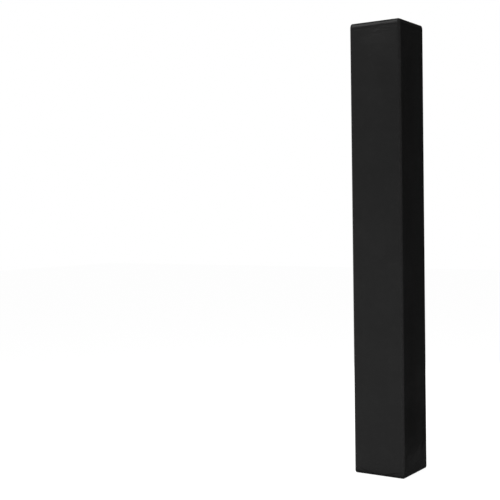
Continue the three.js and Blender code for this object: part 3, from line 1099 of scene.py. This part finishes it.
# Each stitch is a bent rod: at share u its middle stands rise (1 - (2u - 1)^2) above the cloth and its radius
# shrinks towards both ends as the fourth root of 1 - (2u - 1)^4. Rods are laid along a line of places.
def buildStitches(name, body, places, ahead, above):
    seeded = np.random.default_rng(len(places))
    rings, sides = thread["rings"], thread["sides"]
    u, v = np.linspace(thread["tip"], 1 - thread["tip"], rings), np.arange(sides) / sides
    arch = thread["rise"] * (1 - (2 * u - 1) ** 2)
    girth = (thread["radius"] * (1 - (2 * u - 1) ** 4) ** 0.25)[:, None]
    alongRod = (u - 0.5) * thread["length"]
    rodUp = arch[:, None] + girth * np.sin(math.tau * v)
    rodSide = girth * np.cos(math.tau * v)
    skew = seeded.normal(0, thread["skew"], len(places))[:, None]
    ahead = unit(ahead + skew * np.cross(above, ahead))
    beside = np.cross(above, ahead)
    jitter = seeded.normal(0, thread["jitter"], (len(places), 1)) * beside
    middles, ahead, above, beside = [part[:, None, None] for part in (places + jitter, ahead, above, beside)]
    points = (middles + ahead * alongRod[:, None, None] + above * rodUp[..., None]
              + beside * rodSide[..., None])
    ring, side = np.arange(rings - 1)[:, None] * sides, np.arange(sides)[None]
    after = (side + 1) % sides
    quads = spread(ring + side, ring + after, ring + sides + after, ring + sides + side).reshape(-1, 4)
    caps = np.stack([side[0, ::-1], (rings - 1) * sides + side[0]])
    starts = (np.arange(len(places)) * rings * sides)[:, None, None]
    faceSets = [(faces[None] + starts).reshape(-1, faces.shape[1]) for faces in (quads, caps)]
    uv = spread(alongRod[:, None], v[None]).reshape(-1, 2)
    mesh = makeMesh(name, points.reshape(-1, 3), faceSets, np.tile(uv, (len(places), 1)))
    placePiece(name, mesh, body, bondedThread)


# Evenly pitched places up a line at one distance across, with the line's own heading and the side it faces
def upright(x, outAt, low, high, side):
    z = np.linspace(low, high, thread["lineSteps"])
    line = backWall(x, outAt(np.full_like(z, x), z), z)
    far = travelled(line)
    count = max(2, round(far[-1] / thread["pitch"]))
    at, reach = (np.arange(count) + 0.5) * far[-1] / count, thread["headingReach"]

    def pointsAt(distance):
        return np.stack([np.interp(distance, far, line[:, axis]) for axis in range(3)], 1)

    heading = unit(pointsAt(at + reach) - pointsAt(at - reach))
    return pointsAt(at), heading, np.tile([0.0, side, 0.0], (count, 1))


# How far out the cloth lies that each row is sewn through: the flap, and the woven edges of the two tapes
def flapFace(x, z):
    return flapOutAt(x, z) + pad["vinyl"] / 2 + hemAt(x, z)


def loopFace(x, z):
    return tape["loopBase"] + tape["selvageThick"]


def hookFace(x, z):
    return tape["hookBase"] - tape["selvageThick"]


# Each row of stitches is a distance across and the inset of its two ends
flapRow, tapeRow = closure["endInset"] + thread["fromEnd"], tape["endInset"] + thread["fromTapeEnd"]
left, right = tape["left"] + thread["fromTapeEdge"], tape["right"] - thread["fromTapeEdge"]
stitched = {
    "marginThread": ("left_back", flapFace, 1.0, [(-past, flapRow) for past in thread["marginRows"]]),
    "flapThread": ("flap", flapFace, 1.0, [(left, tapeRow), (right, flapRow)]),
    "loopThread": ("right_back", loopFace, 1.0, [(left, tapeRow), (right, tapeRow)]),
    "hookThread": ("flap", hookFace, -1.0, [(left, tapeRow), (right, tapeRow)]),
}
for threadName, (body, face, side, rows) in stitched.items():
    laid = [upright(x, face, inset, pad["height"] - inset, side) for x, inset in rows]
    buildStitches(threadName, body, *[np.concatenate(parts) for parts in zip(*laid)])
print("thread laid")


# studio

# Azimuths run from the front, -Y, towards the right side, +X; lamps and the sheets of painted dark reflection
# face the place they aim at
studio = {
    # Name: aim, azimuth, elevation, distance, size, power
    "lamps": {
        "softbox": ((0.0, -0.1, 1.8), -34.0, 36.0, 3.0, 1.5, 46.0),
        "lowFill": ((0.0, 0.0, 0.2), 5.0, 5.0, 1.9, 0.7, 22.0),
        "rearFill": ((0.0, 0.0, 0.9), -150.0, 12.0, 2.8, 1.8, 115.0),
        "overhead": ((0.0, 0.0, 1.8), 180.0, 84.0, 2.2, 1.0, 24.0),
    },
    "mirrored": ["softbox"],  # the others light the vinyl without showing in its gloss
    # Painted dark reflections: sheets that only the vinyl's gloss sees, glowing dimly in place of the white
    # it would mirror
    # Name: aim, azimuth, elevation, distance, width, height, glow
    "darkReflections": {
        "sideDarkReflection": ((0.1, 0.0, 2.0), 152.0, 0.0, 2.4, 3.0, 4.0, 0.05),
        "backDarkReflection": ((0.0, -0.1, 1.8), -150.0, 33.0, 3.0, 4.4, 3.4, 0.01),
        "topDarkReflection": ((0.0, -0.1, 1.8), -95.0, 70.0, 2.4, 2.2, 1.3, 0.01),
    },
    # Painted shadows on the floor, seen only in the vinyl's gloss: a painted contact shadow round the foot,
    # and painted floor shadow beside it and in a lane that runs off to the side's painted dark reflection.
    # Name: height, glow, corners
    "shadowCards": {
        "footShadowCard": (-0.0001, 0.13, [(-0.147, -0.147), (0.147, -0.147), (0.147, 0.145), (-0.147, 0.145)]),
        "sideShadowCard": (-0.0002, 0.13, [(0.1, -0.147), (0.2, -0.147), (0.36, 0.45), (0.115, 0.45)]),
        "laneShadowCard": (-0.0003, 0.03, [(0.1, -0.16), (2.6, 1.35), (0.3, 3.1), (0.1, 0.13)]),
    },
    "ambient": 0.19, "floorSize": 14.0, "floorUp": -0.0004, "floorColour": 0.8,
    "floorShare": 0.22, "floorGlow": 1.22,
}


def flatStage(name, corners, material):
    made = addObject(name, makeMesh(name, np.array(corners, float), [np.array([[0, 1, 2, 3]])]))
    made.data.materials.append(material)
    return made


# Share of rays that should see the plain white: camera, glossy and transmission rays
def seenWhite(tree):
    path = put(tree, "LightPath").outputs
    seen = calc(tree, "MAXIMUM", path["Is Camera Ray"], path["Is Glossy Ray"])
    return calc(tree, "MAXIMUM", seen, path["Is Transmission Ray"])


# A material that is nothing but the shader that a function puts into its tree
def stageMaterial(name, shade):
    material = bpy.data.materials.new(name)
    material.use_nodes = True
    tree = material.node_tree
    tree.nodes.clear()
    put(tree, "OutputMaterial", {"Surface": shade(tree)})
    return material


def glowing(tree, strength):
    return put(tree, "Emission", {"Color": grey(1.0), "Strength": strength}).outputs[0]


# Matt white that catches a little shadow, and for what should see the plain white mostly a glow
def floorShade(tree):
    matt = put(tree, "BsdfDiffuse", {"Color": grey(studio["floorColour"])}).outputs[0]
    share = calc(tree, "MULTIPLY", seenWhite(tree), 1 - studio["floorShare"])
    return put(tree, "MixShader", {0: share, 1: matt, 2: glowing(tree, studio["floorGlow"])}).outputs[0]


# A painted dark reflection: a sheet as bright as its glow says, whatever light falls on it, seen only by
# glossy rays. It only darkens what the vinyl mirrors.
def makeDarkReflection(name, corners, glow):
    reflectionSheet = flatStage(name, corners, stageMaterial(name, lambda tree: glowing(tree, glow)))
    reflectionSheet.visible_camera = reflectionSheet.visible_diffuse = reflectionSheet.visible_shadow = reflectionSheet.visible_transmission = False


# Unit direction (sin a cos e, -cos a cos e, sin e) for azimuth a and elevation e, and the place along it
def placed(aim, azimuth, elevation, distance):
    a, e = math.radians(azimuth), math.radians(elevation)
    away = Vector((math.sin(a) * math.cos(e), -math.cos(a) * math.cos(e), math.sin(e)))
    return away, Vector(aim) + away * distance


def makeStudio():
    square = ((-1, -1), (1, -1), (1, 1), (-1, 1))
    half, up = studio["floorSize"], studio["floorUp"]
    flatStage("floor", [(half * x, half * y, up) for x, y in square], stageMaterial("paleFloor", floorShade))
    # Painted shadows on the floor, which only the vinyl's gloss sees
    for name, (up, glow, corners) in studio["shadowCards"].items():
        makeDarkReflection(name, [(x, y, up) for x, y in corners], glow)
    # Painted dark reflections, seen only in the vinyl's gloss
    for name, (*place, width, height, glow) in studio["darkReflections"].items():
        away, middle = placed(*place)
        beside = away.cross(Vector((0, 0, 1))).normalized() * width / 2
        above = beside.cross(away).normalized() * height / 2
        makeDarkReflection(name, [middle + beside * x + above * y for x, y in square], glow)
    for name, (*place, size, power) in studio["lamps"].items():
        lamp = bpy.data.lights.new(name, "AREA")
        lamp.shape, lamp.size, lamp.energy = "SQUARE", size, power
        made = addObject(name, lamp)
        away, made.location = placed(*place)
        made.rotation_euler = (-away).to_track_quat("-Z", "Y").to_euler()
        made.visible_camera = False
        made.visible_glossy = name in studio["mirrored"]
    world = bpy.data.worlds.new("studio")
    bpy.context.scene.world = world
    world.use_nodes = True
    tree = world.node_tree
    strength = calc(tree, "MULTIPLY_ADD", seenWhite(tree), 1 - studio["ambient"], studio["ambient"])
    feed(tree, tree.nodes["Background"].inputs, {"Color": grey(1.0), "Strength": strength})
    bpy.context.scene.view_settings.view_transform = "Standard"


makeStudio()
print("studio lit")
